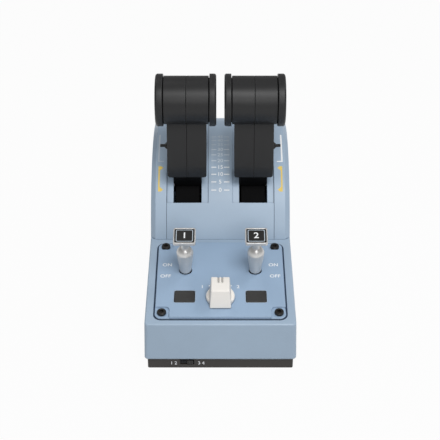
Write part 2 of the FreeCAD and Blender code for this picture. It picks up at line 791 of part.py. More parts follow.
def make_toggle_sleeve():
    """Turned sleeve: tapered skirt, round shoulder, waist under the tile."""
    top = toggle_height - tile_thickness + toggle_pivot_depth
    base = toggle_pivot_depth + plate_thickness + skirt_gap
    wide = shoulder_size
    profile = [
        (0, base), (skirt_radius, base), ((belly_radius - 0.7, base + 0.7), (belly_radius - 0.4, base + 2.4)),
        (belly_radius, base + 7), ((belly_radius + 0.85, base + 13), (wide - 0.05, base + 21.6)),
        ((wide, base + 22.0), (wide - 0.2, base + 22.4)),
        ((wide - 1.5, base + 25.2), (waist_radius, base + 27.5)), (waist_radius, top), (0, top)]
    wire = outline(profile, lambda x, z: V(x, 0, z))
    body = Part.Face(wire).revolve(V(0, 0, 0), Z_AXIS, 360)
    bore = Part.makeCylinder(toggle_shaft_radius + running_fit, 24.5 + toggle_lift, V(0, 0, 0))
    return body.cut(bore)


def make_toggle_tile():
    """Square cap with a sunk field for its legend plate."""
    top = toggle_height + toggle_pivot_depth
    w = tile_width / 2
    d = tile_depth / 2
    tile = plan_prism(rounded(-w, w, -d, d, 1.8), top - tile_thickness, top)
    w -= tile_border_x
    d -= tile_border_y
    return tile.cut(plan_prism(rounded(-w, w, -d, d, 1.2), top - 0.8, top + 1))


def make_toggle_legend():
    top = toggle_height + toggle_pivot_depth
    w = tile_width / 2 - tile_border_x - 0.05
    d = tile_depth / 2 - tile_border_y - 0.05
    return plan_prism(rounded(-w, w, -d, d, 1.15), top - 0.8, top - 0.2)


# ---------------------------------------------------------------- selector, buttons, slide switch
def make_selector():
    """Rotary selector: disc, tapered bar grip and shaft, about its own axis."""
    gap = plate_thickness + 0.25
    disc = Part.makeCylinder(selector_radius, selector_disc_height, V(0, 0, gap))
    top = gap + selector_height
    wires = []
    for z, half_x, half_y in ((gap, 8.5, 12.5), (top, 7.3, 8.2)):
        corners = [(-half_x, -half_y), (half_x, -half_y), (half_x, half_y), (-half_x, half_y)]
        wires.append(outline(corners, lambda a, b, h=z: V(a, b, h)))
    grip = Part.makeLoft(wires, True, True)
    for x in (-1.5, 1.5):
        groove = box(x - 0.5, x + 0.5, 2.0, 20, top - 0.8, top + 1)
        grip = grip.cut(groove)
    shaft = Part.makeCylinder(selector_shaft_radius, gap + 9, V(0, 0, -8.5))
    return disc.fuse([grip, shaft]).removeSplitter()


def on_panel_at(shape, x, along):
    moved = shape.copy()
    moved.translate(V(x, along, 0))
    return on_panel(moved)


def make_selector_switch():
    case = box(-10, 10, -10, 10, -12, -2.5)
    neck = Part.makeCylinder(5, 2.5, V(0, 0, -2.5))
    bore = Part.makeCylinder(selector_shaft_radius + running_fit, 20, V(0, 0, -10))
    return case.fuse(neck).cut(bore).removeSplitter()


def make_button_cap():
    """Flat rectangular push button with a guide stem."""
    w = button_width / 2
    d = button_depth / 2
    top = plate_thickness + 0.5
    cap = plan_prism(rounded(-w, w, -d, d, 1.1), 0.2 + cap_travel, top)
    stem = Part.makeCylinder(2, 8.5, V(0, 0, -6))
    return cap.fuse(stem).removeSplitter()


def make_button_switch():
    case = box(-6.5, 6.5, -6.5, 6.5, -9, -0.2)
    return case.cut(Part.makeCylinder(2 + running_fit, 20, V(0, 0, -7.5)))


def slide_axis_y():
    return front_y + tray_inset


def make_slide_switch():
    """Slide switch case behind the tray wall, with the channel for its slider."""
    y0 = slide_axis_y() + wall
    x = slide_window_x
    z = slide_window_z
    case = box(x - 8, x + 8, y0, y0 + 5, tray_bottom + tray_floor, base_height - 0.2)
    channel = box(x - 6, x + 6, y0 - 1, y0 + 3, z - 2, z + 2)
    return case.cut(channel)


def make_slide_knob():
    """Slider: a ribbed tab through the window and a block in the channel, parked at the right."""
    y0 = slide_axis_y()
    x = slide_window_x + slide_travel / 2
    z = slide_window_z
    tab = box(x - slide_tab_width / 2, x + slide_tab_width / 2, y0 - 0.6, y0 + wall + 0.5,
              z - slide_tab_height / 2, z + slide_tab_height / 2)
    for k in (-1, 0, 1):
        tab = tab.cut(box(x + k * 1.2 - 0.25, x + k * 1.2 + 0.25, y0 - 1, y0 - 0.1, z - 5, z + 5))
    block = box(x - 3, x + 3, y0 + wall + 0.1, y0 + wall + 2.9, z - 1.9, z + 1.9)
    return tab.fuse(block).removeSplitter()


def make_board():
    """Main circuit board on its posts."""
    z = tray_bottom + tray_floor + 4.5
    board = plan_prism(rounded(-33, 33, front_y + 31, front_y + 91, 2), z, z + 1.6)
    return board


def make_usb_socket():
    """Cable socket at the rear: a metal shell in the tray's port."""
    z = 7.0
    shell = box(-4.5, 4.5, rear_y - tray_inset - wall - 5, rear_y - tray_inset, z - 1.6, z + 1.6)
    shell = softened(shell, 1.4, lambda e: e.BoundBox.YLength > 6)
    inside = box(-4.1, 4.1, rear_y - tray_inset - 6, rear_y, z - 1.2, z + 1.2)
    tongue = box(-3.3, 3.3, rear_y - tray_inset - 7, rear_y - tray_inset - 1, z - 0.35, z + 0.35)
    back = rear_y - tray_inset - wall
    carrier = box(-8, 8, back - 4, back, tray_bottom + tray_floor, base_height - 0.2)
    return carrier.fuse(shell).cut(inside).fuse(tongue).removeSplitter()


# ---------------------------------------------------------------- build
def build():
    os.makedirs(OUT, exist_ok=True)
    save("base_tray", make_tray())
    save("rubber_feet", *make_feet())
    save("mount_inserts", *make_inserts())
    save("base_screws", *make_base_screws())
    save("lower_shell", make_lower_shell())
    middle, cheek = make_dome()
    save("dome_cover", make_cover(middle))
    save("cheek_right", cheek)
    save("cheek_left", mirrored(cheek))
    save("engine_panel", on_panel(make_plate()))
    save("panel_screws", *make_panel_screws())
    bracket = make_side_bracket()
    save("detent_bracket_right", bracket)
    save("detent_bracket_left", mirrored(bracket))
    save("centre_bracket", make_centre_bracket())
    reach = bracket_x + bracket_thickness + 1.8
    save("pivot_shaft", rod(shaft_radius, -reach, reach, pivot_y, pivot_z))
    save("friction_washers", *make_friction_washers())
    sensor = make_sensor()
    save("angle_sensors", sensor, mirrored(sensor))
    save("main_board", make_board())
    save("usb_socket", make_usb_socket())
    save("slide_switch", make_slide_switch())
    save("slide_knob", make_slide_knob())
    save("selector_switch", on_panel_at(make_selector_switch(), 0, selector_along))
    save("selector_knob", on_panel_at(make_selector(), 0, selector_along))
    outer, inner = make_grip()
    arm = make_arm()
    lever_parts = {
        "lever_arm": arm, "grip_outer": outer, "grip_inner": inner,
        "flange_outer": make_flange(True), "flange_inner": make_flange(False).mirror(V(0, 0, 0), X_AXIS),
        "disconnect_button": make_disconnect(), "latch_tab": make_latch(),
        "dust_sector": make_dust_sector(arm), "dust_drum": make_dust_drum(arm),
        "detent_follower": make_follower(),
    }
    for sx, side in ((-1, "left"), (1, "right")):
        for name, shape in lever_parts.items():
            save(name + "_" + side, place_lever(shape, sx))
    yoke, sleeve = make_toggle_yoke(), make_toggle_sleeve()
    tile, legend = make_toggle_tile(), make_toggle_legend()
    for sx, number in ((-1, "1"), (1, "2")):
        x = sx * toggle_x
        save("toggle_switch_" + number, make_toggle_body(x))
        save("toggle_yoke_" + number, toggle_frame(yoke, x))
        save("toggle_sleeve_" + number, toggle_frame(sleeve, x))
        save("toggle_tile_" + number, toggle_frame(tile, x))
        save("toggle_legend_" + number, toggle_frame(legend, x))
    for sx, side in ((-1, "left"), (1, "right")):
        save("push_button_" + side, on_panel_at(make_button_cap(), sx * button_x, button_along))
        save("button_switch_" + side, on_panel_at(make_button_switch(), sx * button_x, button_along))


build()
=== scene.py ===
# %% [markdown]
# # A throttle quadrant for a flight desk
# The object is a small control box: two black throttle levers swing through a domed cover, and a
# sloping panel in front of them carries two toggles, two push buttons and a rotary selector.
# The solid parts come from the CAD frame, which fixes every size. This lesson gives them moulded
# plastic, turned metal, printed marks, soft edges and light.

import json
import math

import bmesh
import bpy
from mathutils import Matrix, Vector


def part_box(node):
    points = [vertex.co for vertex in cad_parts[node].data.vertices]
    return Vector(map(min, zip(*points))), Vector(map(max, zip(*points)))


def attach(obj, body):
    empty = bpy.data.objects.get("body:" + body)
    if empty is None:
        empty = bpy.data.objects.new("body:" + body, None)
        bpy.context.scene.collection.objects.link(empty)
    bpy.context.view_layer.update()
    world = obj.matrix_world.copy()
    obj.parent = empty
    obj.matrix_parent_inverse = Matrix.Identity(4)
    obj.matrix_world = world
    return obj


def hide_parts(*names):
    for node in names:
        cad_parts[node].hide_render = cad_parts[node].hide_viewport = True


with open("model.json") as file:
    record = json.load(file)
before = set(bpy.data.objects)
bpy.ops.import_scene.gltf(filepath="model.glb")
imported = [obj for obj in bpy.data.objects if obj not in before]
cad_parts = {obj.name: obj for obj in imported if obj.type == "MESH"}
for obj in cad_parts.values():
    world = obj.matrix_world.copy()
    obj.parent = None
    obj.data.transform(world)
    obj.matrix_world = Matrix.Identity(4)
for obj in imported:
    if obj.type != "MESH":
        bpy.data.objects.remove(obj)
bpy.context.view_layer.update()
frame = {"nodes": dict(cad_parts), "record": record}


scene = bpy.context.scene
MM = 0.001

# %% [markdown]
# ## Where things are
# The frame gives each solid's box, so the marks, screws and the camera can be placed without guessing.
# The panel is a plane that slopes up from the ridge to the foot of the dome, and the dome is part
# of a cylinder about the levers' pivot.

# %% Places read from the frame
shell_low, shell_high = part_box("lower_shell")
tray_low, tray_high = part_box("base_tray")
dome_low, dome_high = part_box("dome_cover")
shaft_low, shaft_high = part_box("pivot_shaft")
pivot = (shaft_low + shaft_high) / 2
dome_radius = dome_high.z - pivot.z
ridge_setback = 1.07 * MM
ridge_height = 44.1 * MM
panel_slope = 9.0
plate_top = 2.5
ridge = Vector((0, shell_low.y + ridge_setback, ridge_height))
slope = math.radians(panel_slope)
along = Vector((0, math.cos(slope), math.sin(slope)))
out_of_panel = Vector((0, -math.sin(slope), math.cos(slope)))
panel_turn = Matrix.Rotation(slope, 4, "X")


def on_panel(x, distance, height=0.0):
    """A point on the sloping panel: across, up the slope from the ridge, and above it, in mm."""
    return ridge + Vector((x * MM, 0, 0)) + along * (distance * MM) + out_of_panel * (height * MM)


def on_dome(x, angle, height=0.0):
    """A point on the dome: across in mm, degrees above the front horizontal, and above it in mm."""
    a = math.radians(angle)
    r = dome_radius + height * MM
    return Vector((x * MM, pivot.y - r * math.cos(a), pivot.z + r * math.sin(a)))


print("dome radius", round(dome_radius / MM, 1), "mm, pivot at", [round(v / MM, 1) for v in pivot])

# %% [markdown]
# ## A small node builder
# Shader nodes take many lines to write out, so one class makes and links them. Colours are written
# as they look on a screen, 0 to 255, and turned into the linear numbers that a shader takes.


# %% Node builder
class Nodes:
    """Makes and links shader nodes for one material."""

    def __init__(self, name):
        self.material = bpy.data.materials.new(name)
        self.material.use_nodes = True
        self.tree = self.material.node_tree
        self.tree.nodes.clear()
        self.out = self.add("OutputMaterial")

    def add(self, kind, **settings):
        """A new shader node of a kind, with its settings."""
        node = self.tree.nodes.new("ShaderNode" + kind)
        for key, value in settings.items():
            setattr(node, key, value)
        return node

    def link(self, source, target):
        """Join an output to an input."""
        self.tree.links.new(source, target)

    def set(self, socket, value):
        """Feed an input from an output, or give it a plain value."""
        if isinstance(value, bpy.types.NodeSocket):
            self.link(value, socket)
        else:
            socket.default_value = value

    def place(self, stretch=(1, 1, 1)):
        """The point on the piece, in its own axes, stretched for lines or streaks."""
        node = self.add("Mapping")
        self.link(self.add("TexCoord").outputs["Object"], node.inputs["Vector"])
        node.inputs["Scale"].default_value = stretch
        return node.outputs[0]

    def noise(self, vector, scale, detail=2.0, roughness=0.5):
        """Smooth noise around 0.5, with this many waves to the metre."""
        node = self.add("TexNoise")
        node.inputs["Scale"].default_value = scale
        node.inputs["Detail"].default_value = detail
        node.inputs["Roughness"].default_value = roughness
        self.link(vector, node.inputs["Vector"])
        return node.outputs["Fac"]

    def spread(self, value, low, high, start=0.3, end=0.7):
        """Stretch a value from start..end to low..high."""
        node = self.add("MapRange")
        self.link(value, node.inputs["Value"])
        for key, number in (("From Min", start), ("From Max", end), ("To Min", low), ("To Max", high)):
            node.inputs[key].default_value = number
        return node.outputs["Result"]

    def math(self, operation, a, b):
        """One sum on two numbers."""
        node = self.add("Math", operation=operation)
        self.set(node.inputs[0], a)
        self.set(node.inputs[1], b)
        return node.outputs[0]

    def mix(self, factor, first, second):
        """A blend of two colours; sockets 6, 7 and 2 are the colour ones."""
        node = self.add("Mix", data_type="RGBA", blend_type="MIX")
        self.set(node.inputs[0], factor)
        self.set(node.inputs[6], first)
        self.set(node.inputs[7], second)
        return node.outputs[2]

    def bump(self, height, strength, depth, normal=None):
        """A normal bent by a height; depth in mm."""
        node = self.add("Bump")
        node.inputs["Strength"].default_value = strength
        node.inputs["Distance"].default_value = depth * MM
        self.link(height, node.inputs["Height"])
        if normal is not None:
            self.link(normal, node.inputs["Normal"])
        return node.outputs[0]


def tone(red, green, blue, change=1.0):
    """A screen colour, 0 to 255, as the linear colour that a shader takes."""
    linear = []
    for value in (red, green, blue):
        v = min(1.0, value / 255)
        linear.append(min(1.0, change * (v / 12.92 if v <= 0.04045 else ((v + 0.055) / 1.055) ** 2.4)))
    return (*linear, 1.0)


print("a mid blue-grey is", [round(c, 3) for c in tone(150, 170, 190)[:3]], "to a shader")

# %% [markdown]
# ## Moulded plastic
# Every shell here is injection moulded. The tool was spark eroded, which leaves a fine, even grain;
# the colour is in the plastic and barely varies; and handled edges turn a little smoother and paler.
# One builder makes each plastic: grain from fine noise in the bump, a slow drift of colour and
# gloss, edges picked out by comparing the true normal with a rounded one, and painted shade in the
# seams and grooves, darkening the colour where little open space lies in front of a point.

# %% The builder for moulded plastics
grain_size = 0.45
rubbed_edge = 0.4
seam_reach = 1.6


def moulded(name, colour, gloss, grain=0.3, drift=0.05, worn=0.2, specular=0.5, painted_shade=0.75):
    """A moulded plastic: gloss is its roughness, grain the depth of the spark-eroded texture, and
    the last argument how far the colour darkens in seams and grooves, which is painted shade."""
    n = Nodes(name)
    shader = n.add("BsdfPrincipled")
    shader.inputs["Specular IOR Level"].default_value = specular
    n.link(shader.outputs[0], n.out.inputs[0])
    place = n.place()
    fine = n.noise(place, 1 / (grain_size * MM), 3.0, 0.6)
    broad = n.noise(place, 28.0, 3.0, 0.55)
    soft = n.add("Bevel", samples=6)
    soft.inputs["Radius"].default_value = rubbed_edge * MM
    dot = n.add("VectorMath", operation="DOT_PRODUCT")
    n.link(soft.outputs[0], dot.inputs[0])
    n.link(n.add("NewGeometry").outputs["True Normal"], dot.inputs[1])
    edges = n.spread(dot.outputs["Value"], 1.0, 0.0, 0.88, 0.985)
    rubbed = n.math("MULTIPLY", edges, n.spread(broad, 0.4, 1.0, 0.35, 0.65))
    dark, light = tone(*colour, 1 - drift), tone(*colour, 1 + drift)
    clouds = n.mix(n.spread(broad, 0.0, 1.0), dark, light)
    specks = n.mix(n.spread(fine, 0.0, 1.0), dark, light)
    body = n.mix(0.5, clouds, specks)
    pale = tuple(min(1.0, 0.02 + c * 1.3) for c in tone(*colour)[:3]) + (1.0,)
    # Painted shade: the colour darkens where little open space lies in front of a point, in seams, grooves
    # and under parts.
    hollow = n.add("AmbientOcclusion", samples=6)
    hollow.inputs["Distance"].default_value = seam_reach * MM
    deep = n.math("MULTIPLY", n.spread(hollow.outputs["AO"], 1.0, 0.0, 0.15, 0.75), painted_shade)
    face = n.mix(n.math("MULTIPLY", rubbed, worn), body, pale)
    n.link(n.mix(deep, face, tone(*colour, 0.12)), shader.inputs["Base Color"])
    rough = n.spread(broad, gloss - 0.03, gloss + 0.03)
    n.link(n.math("SUBTRACT", rough, n.math("MULTIPLY", rubbed, 0.1)), shader.inputs["Roughness"])
    n.link(n.bump(fine, grain, 0.04, soft.outputs[0]), shader.inputs["Normal"])
    return n.material


# %% Plastics of the housing, tray, levers and controls
plastics = {
    "housing_blue": moulded("shell_blue_plastic", (163, 183, 203), 0.38, worn=0.6),
    "panel_blue": moulded("panel_blue_plastic", (156, 180, 206), 0.38, worn=0.6),
    "tray_black": moulded("tray_black_plastic", (46, 43, 40), 0.5),
    "lever_black": moulded("lever_black_plastic", (33, 33, 34), 0.42, grain=0.15, worn=0.1, specular=0.38),
    "latch_black": moulded("latch_black_plastic", (22, 22, 23), 0.45, specular=0.3),
    "button_grey": moulded("button_grey_plastic", (52, 51, 50), 0.45, grain=0.2),
    "selector_cream": moulded(
        "selector_cream_plastic", (246, 242, 236), 0.38, grain=0.15, worn=0.0, drift=0.02),
    "legend_black": moulded("legend_black_plastic", (26, 25, 24), 0.4, grain=0.1),
    "bracket_grey": moulded("bracket_grey_plastic", (88, 90, 94), 0.55),
    "rubber": moulded("foot_rubber", (32, 32, 32), 0.8, grain=0.5),
}
# Painted shade: a darker copy of the lever black, for the arms and shields seen inside the dark slots.
slot_shade_black = moulded("slot_shade_black_plastic", (10, 10, 11), 0.7, grain=0.2, worn=0.0, specular=0.06)
print("plastics made:", ", ".join(plastics))

# %% [markdown]
# ## Metal, screws and board
# The toggles are turned from aluminium and blasted, so they shine softly with fine rings left by the
# tool. The brackets and shaft are plain steel, the screws are black oxide, the inserts are brass.

# %% The builder for metals
ring_size = 0.35
mottle = 0.06


def turned(name, colour, gloss, rings=0.15, metallic=1.0):
    """A metal: gloss is its roughness, rings the depth of the tool's marks round its long axis."""
    n = Nodes(name)
    shader = n.add("BsdfPrincipled")
    shader.inputs["Metallic"].default_value = metallic
    n.link(shader.outputs[0], n.out.inputs[0])
    lines = n.noise(n.place((0.04, 0.04, 1)), 1 / (ring_size * MM), 2.0, 0.5)
    cloud = n.noise(n.place(), 180.0, 3.0, 0.6)
    n.link(n.mix(n.spread(cloud, 0.0, 1.0), tone(*colour, 1 - mottle), tone(*colour, 1 + mottle)),
           shader.inputs["Base Color"])
    n.link(n.spread(cloud, gloss - 0.05, gloss + 0.05), shader.inputs["Roughness"])
    soft = n.add("Bevel", samples=4)
    soft.inputs["Radius"].default_value = 0.25 * MM
    n.link(n.bump(lines, rings, 0.05, soft.outputs[0]), shader.inputs["Normal"])
    return n.material


# %% Metals and the board
metals = {
    "toggle_satin": turned("toggle_blasted_aluminium", (214, 213, 211), 0.33, rings=0.06, metallic=0.6),
    "screw_black": turned("screw_black_oxide", (70, 68, 66), 0.42, rings=0.05),
    "bracket_steel": turned("bracket_plain_steel", (176, 178, 182), 0.35),
    "brass": turned("insert_brass", (206, 172, 104), 0.3),
}
board_green = moulded("board_solder_resist", (36, 92, 58), 0.35, grain=0.1, worn=0.0)
finishes = {**plastics, **metals, "board_green": board_green}
slot_names = [m["slot"] for m in frame["record"]["materials"]]
print("slots without a finish:", [s for s in slot_names if s not in finishes])

# %% [markdown]
# ## Printed ink
# Marks are pad printed: a thin coat that stands a few hundredths of a millimetre above the plastic,
# with a slightly uneven edge and a matt face. Each mark is a thin solid, so it has a real edge.


# %% The builder for inks
def ink(name, colour):
    """A matt printing ink with a slightly uneven coat."""
    n = Nodes(name)
    shader = n.add("BsdfPrincipled")
    shader.inputs["Specular IOR Level"].default_value = 0.3
    n.link(shader.outputs[0], n.out.inputs[0])
    cover = n.noise(n.place(), 2600.0, 3.0, 0.6)
    thin, thick = tone(*colour, 0.9), tone(*colour, 1.04)
    n.link(n.mix(n.spread(cover, 0.0, 1.0), thin, thick), shader.inputs["Base Color"])
    n.link(n.spread(cover, 0.49, 0.61), shader.inputs["Roughness"])
    n.link(n.bump(cover, 0.15, 0.02), shader.inputs["Normal"])
    return n.material


white_ink = ink("white_ink", (246, 248, 250))
# Painted shade: the two greyer whites stand for print seen in shade. The first is the middle of the scale;
# the faintest is the top of the scale and the left bracket, and is also used for the minor ticks and the
# toggles' frame lines.
shaded_ink = ink("shaded_white_ink", (218, 227, 235))
faint_ink = ink("faint_white_ink", (198, 210, 221))
yellow_ink = ink("yellow_ink", (238, 208, 112))
print("inks:", white_ink.name, shaded_ink.name, faint_ink.name, yellow_ink.name)

# %% [markdown]
# ## Dress the parts
# The record names a material slot for each part, and each slot has a finish. The lever arms and the
# shields that turn inside the slots get a darker black than the levers: painted shade for the slots.

# %% Dress the CAD parts
slot_of = {part["node"]: part["material_slot"] for part in frame["record"]["subparts"]}
body_of = {node: body for body, nodes in frame["record"]["behaviour"]["bodies"].items() for node in nodes}
sides = {"left": -1, "right": 1}


def finish_of(node_name):
    """The finish of a CAD part; what shows inside the slots gets the darkest black, as painted shade."""
    if node_name.startswith(("lever_arm", "dust_")):
        return slot_shade_black
    return finishes[slot_of[node_name]]


for node_name, node in frame["nodes"].items():
    node.data.materials.clear()
    node.data.materials.append(finish_of(node_name))
print("dressed", len(frame["nodes"]), "CAD parts")

# %% [markdown]
# ## Soft edges
# No moulded edge is sharp: each has a small radius that draws a thin line of light along it. A copy
# of each CAD part that shows is cleaned of its flat triangles, gets a real bevel on every sharp edge,
# and stands for the part. The sizes stay, because a bevel only takes material away.

# %% A copy with rounded edges
flat_angle = 0.6
sharp_angle = 32


def mesh_piece(name, mesh, body, material):
    """Put a mesh in the scene as a piece that rides a body, with the finish given."""
    mesh.materials.clear()
    mesh.materials.append(material)
    piece = bpy.data.objects.new(name, mesh)
    scene.collection.objects.link(piece)
    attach(piece, body)
    return piece


def soften(node_name, width):
    """Replace a CAD part by a copy with its sharp edges rounded over a width in mm."""
    build = bmesh.new()
    build.from_mesh(frame["nodes"][node_name].data)
    bmesh.ops.remove_doubles(build, verts=build.verts, dist=0.01 * MM)
    flat = math.radians(flat_angle)
    bmesh.ops.dissolve_limit(build, angle_limit=flat, verts=build.verts, edges=build.edges)
    for face in build.faces:
        face.smooth = True
    mesh = bpy.data.meshes.new(node_name + "_plain")
    build.to_mesh(mesh)
    build.free()
    draft = bpy.data.objects.new(node_name + "_draft", mesh)
    scene.collection.objects.link(draft)
    bevel = draft.modifiers.new("round", "BEVEL")
    bevel.width = width * MM
    bevel.segments = 2
    bevel.limit_method = "ANGLE"
    bevel.angle_limit = math.radians(sharp_angle)
    bevel.use_clamp_overlap = False
    even = draft.modifiers.new("even", "WEIGHTED_NORMAL")
    even.weight = 80
    done = bpy.data.meshes.new_from_object(draft.evaluated_get(bpy.context.evaluated_depsgraph_get()))
    bpy.data.objects.remove(draft)
    body, slot = body_of[node_name], slot_of[node_name]
    piece = mesh_piece(node_name + "_soft", done, body, finish_of(node_name))
    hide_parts(node_name)
    return len(done.polygons)


# %% Round the parts that show
edge_widths = {
    "lower_shell": 0.3, "dome_cover": 0.3, "cheek_left": 0.3, "cheek_right": 0.3, "engine_panel": 0.4,
    "base_tray": 0.25, "selector_knob": 0.85, "slide_knob": 0.2,
}
for side in sides:
    edge_widths.update({
        "grip_outer_" + side: 0.3, "grip_inner_" + side: 0.3, "flange_outer_" + side: 0.5,
        "flange_inner_" + side: 0.5, "latch_tab_" + side: 0.4, "push_button_" + side: 0.35,
        "lever_arm_" + side: 0.4, "disconnect_button_" + side: 0.4})
for number in "12":
    edge_widths.update({"toggle_tile_" + number: 0.35, "toggle_legend_" + number: 0.15})
faces = sum(soften(node_name, width) for node_name, width in edge_widths.items())
print("rounded", len(edge_widths), "parts,", faces, "faces")

# %% [markdown]
# ## Socket screws
# The plate is held by four socket head screws. The head is turned with a fine knurl and has a broached
# hex socket, so every ring of the mesh has the same number of points: round outside, six sided inside.

# %% Sizes of a socket screw
head_radius = 3.6
head_height = 2.4
shank_radius = 1.95
shank_length = 8.8
key_size = 3.0
socket_depth = 1.5
ear_height = 0.8
ring_points = 72
screw_places = [(side * 46.0, 11.6) for side in (-1, 1)] + [(side * 45.3, 89.2) for side in (-1, 1)]


def round_ring(radius, knurl=0.0):
    """Points round a circle, as radius and angle; a knurl pulls every second one in."""
    return [(radius - knurl * (i % 2), 2 * math.pi * i / ring_points) for i in range(ring_points)]


def hex_ring(across, scale=1.0):
    """Points round a hexagon, as radius and angle."""
    ring = []
    for i in range(ring_points):
        angle = 2 * math.pi * i / ring_points
        part = (angle + math.pi / 6) % (math.pi / 3) - math.pi / 6
        ring.append((scale * across / 2 / math.cos(part), angle))
    return ring


screw_rings = [
    (round_ring(shank_radius), -shank_length), (round_ring(shank_radius), 0.0),
    (round_ring(head_radius - 0.1), 0.0), (round_ring(head_radius, 0.12), 0.15),
    (round_ring(head_radius, 0.12), head_height - 0.45), (round_ring(head_radius - 0.15), head_height - 0.25),
    (round_ring(head_radius - 0.4), head_height), (hex_ring(key_size, 1.12), head_height),
    (hex_ring(key_size), head_height - 0.2), (hex_ring(key_size), head_height - socket_depth),
]
print("a screw has", len(screw_rings), "rings of", ring_points, "points")

# %% [markdown]
# The rings are joined into one skin for each screw, from the shank's end up round the head and down
# into the socket.

# %% Socket screws
build = bmesh.new()
for x, distance in screw_places:
    base = on_panel(x, distance, ear_height)
    rings = []
    for ring, height in screw_rings:
        points = [Vector((r * math.cos(a), r * math.sin(a), height)) * MM for r, a in ring]
        rings.append([build.verts.new(base + panel_turn @ point) for point in points])
    for low, high in zip(rings, rings[1:]):
        for i in range(ring_points):
            j = (i + 1) % ring_points
            build.faces.new((low[i], low[j], high[j], high[i]))
    build.faces.new(list(reversed(rings[0])))
    build.faces.new(rings[-1])
mesh = bpy.data.meshes.new("panel_socket_screws")
build.to_mesh(mesh)
build.free()
screws = mesh_piece("panel_socket_screws", mesh, "root", metals["screw_black"])
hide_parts("panel_screws")
print("made", len(screw_places), "socket screws")

# %% [markdown]
# ## Drawing a mark
# A mark is a ribbon: rows of two edges with a low and a high side, closed at both ends. Rows that
# follow the dome's angle bend the ribbon round it, and rows whose edges come together draw a point.
# Figures are text, given the thickness of the ink and set square on the surface. A closed band runs
# round a rounded rectangle.

# %% Ribbons, bands and figures
ink_under = -0.04
ink_over = 0.03


def ribbon(build, rows, place):
    """A thin solid through rows of (distance, first edge, second edge)."""
    last = None
    for distance, first, second in rows:
        row = [build.verts.new(place(x, distance, height)) for x, height in (
            (first, ink_under), (second, ink_under), (second, ink_over), (first, ink_over))]
        if last is None:
            build.faces.new(reversed(row))
        else:
            for i in range(4):
                j = (i + 1) % 4
                build.faces.new((last[i], last[j], row[j], row[i]))
        last = row
    build.faces.new(last)


def rounded_rectangle(x0, x1, y0, y1, radius, steps=6):
    """The corners of a rounded rectangle, in order."""
    points = []
    for x, y, turn in ((x1, y1, 0), (x0, y1, 1), (x0, y0, 2), (x1, y0, 3)):
        cx = x - radius if x == x1 else x + radius
        cy = y - radius if y == y1 else y + radius
        for i in range(steps + 1):
            angle = (turn + i / steps) * math.pi / 2
            points.append((cx + radius * math.cos(angle), cy + radius * math.sin(angle)))
    return points


def closed_band(build, box, radius, width, low, high, place):
    """A thin closed band round a rounded rectangle, as wide as stated, outside it."""
    x0, x1, y0, y1 = box
    loops = []
    for grow, height in ((0, low), (width, low), (width, high), (0, high)):
        points = rounded_rectangle(x0 - grow, x1 + grow, y0 - grow, y1 + grow, radius + grow)
        loops.append([build.verts.new(place(x, y, height)) for x, y in points])
    for first, second in zip(loops, loops[1:] + loops[:1]):
        for i in range(len(first)):
            j = (i + 1) % len(first)
            build.faces.new((first[i], first[j], second[j], second[i]))


def figure(build, text, size, origin, right, up, normal):
    """Add text to a mesh, centred on a point of a surface; size in mm."""
    curve = bpy.data.curves.new("figure", "FONT")
    curve.body = text
    curve.size = size * MM
    curve.align_x = "CENTER"
    curve.align_y = "CENTER"
    curve.extrude = (ink_over - ink_under) / 2 * MM
    curve.offset = 0.012 * size * MM
    curve.resolution_u = 4
    draft = bpy.data.objects.new("figure", curve)
    scene.collection.objects.link(draft)
    mesh = bpy.data.meshes.new_from_object(draft.evaluated_get(bpy.context.evaluated_depsgraph_get()))
    turn = Matrix((right, up, normal)).transposed().to_4x4()
    middle = origin + normal * ((ink_over + ink_under) / 2 * MM)
    mesh.transform(Matrix.Translation(middle) @ turn)
    build.from_mesh(mesh)
    bpy.data.objects.remove(draft)
    bpy.data.meshes.remove(mesh)


def finish_marks(name, build, body, material):
    """Turn a drawn mesh into a piece."""
    bmesh.ops.remove_doubles(build, verts=build.verts, dist=0.001 * MM)
    bmesh.ops.recalc_face_normals(build, faces=build.faces)
    mesh = bpy.data.meshes.new(name)
    build.to_mesh(mesh)
    build.free()
    return mesh_piece(name, mesh, body, material)


# %% [markdown]
# ## The thrust scale
# Between the levers a scale from 0 to 45 runs up the dome. Its steps close up as they climb. The print
# looks paler where the dome turns away, so the upper part is in greyer inks: painted shade.

# %% Scale on the dome
across = Vector((1, 0, 0))
scale_end = 45
scale_step = 5
scale_size = 5.0
tick_half = 0.28
minor_half = 0.07
tick_edges = ((-7.7, -3.4), (3.1, 7.7))
minor_edges = ((-7.7, -5.9), (5.9, 7.7))
minor_build = bmesh.new()
# Painted shade: the middle and high parts of the scale take greyer inks, for the print seen paler where the
# dome turns away.
scale_inks = {"low": (white_ink, 0, 15), "middle": (shaded_ink, 20, 30), "high": (faint_ink, 35, scale_end)}


def scale_angle(value):
    """Where a value of the scale stands, in degrees above the front horizontal."""
    return 45.8 + 0.925 * value - 0.0031 * value * value


def dome_axes(angle):
    """The directions across, up and out of the dome at an angle."""
    a = math.radians(angle)
    return across, Vector((0, math.sin(a), math.cos(a))), Vector((0, -math.cos(a), math.sin(a)))


for part, (material, first, last) in scale_inks.items():
    build = bmesh.new()
    for value in range(first, last + 1, scale_step):
        angle = scale_angle(value)
        for x0, x1 in tick_edges:
            ribbon(build, [(angle - tick_half, x0, x1), (angle + tick_half, x0, x1)], on_dome)
        figure(build, str(value), scale_size, on_dome(-0.1, angle), *dome_axes(angle))
        for minor in range(value + 1, min(value + scale_step, scale_end)):
            small = scale_angle(minor)
            for x0, x1 in minor_edges:
                rows = [(small - minor_half, x0, x1), (small + minor_half, x0, x1)]
                ribbon(minor_build, rows, on_dome)
    finish_marks("scale_marks_" + part, build, "root", material)
    print("scale", part, "from", first, "to", last)
finish_marks("scale_marks_minor", minor_build, "root", faint_ink)

# %% [markdown]
# ## Brackets on the cheeks
# Outside each slot a yellow bracket marks a range of lever travel, with points at both ends, and a white
# one marks the range above it. Each row is an angle on the dome with the inner and the outer edge.

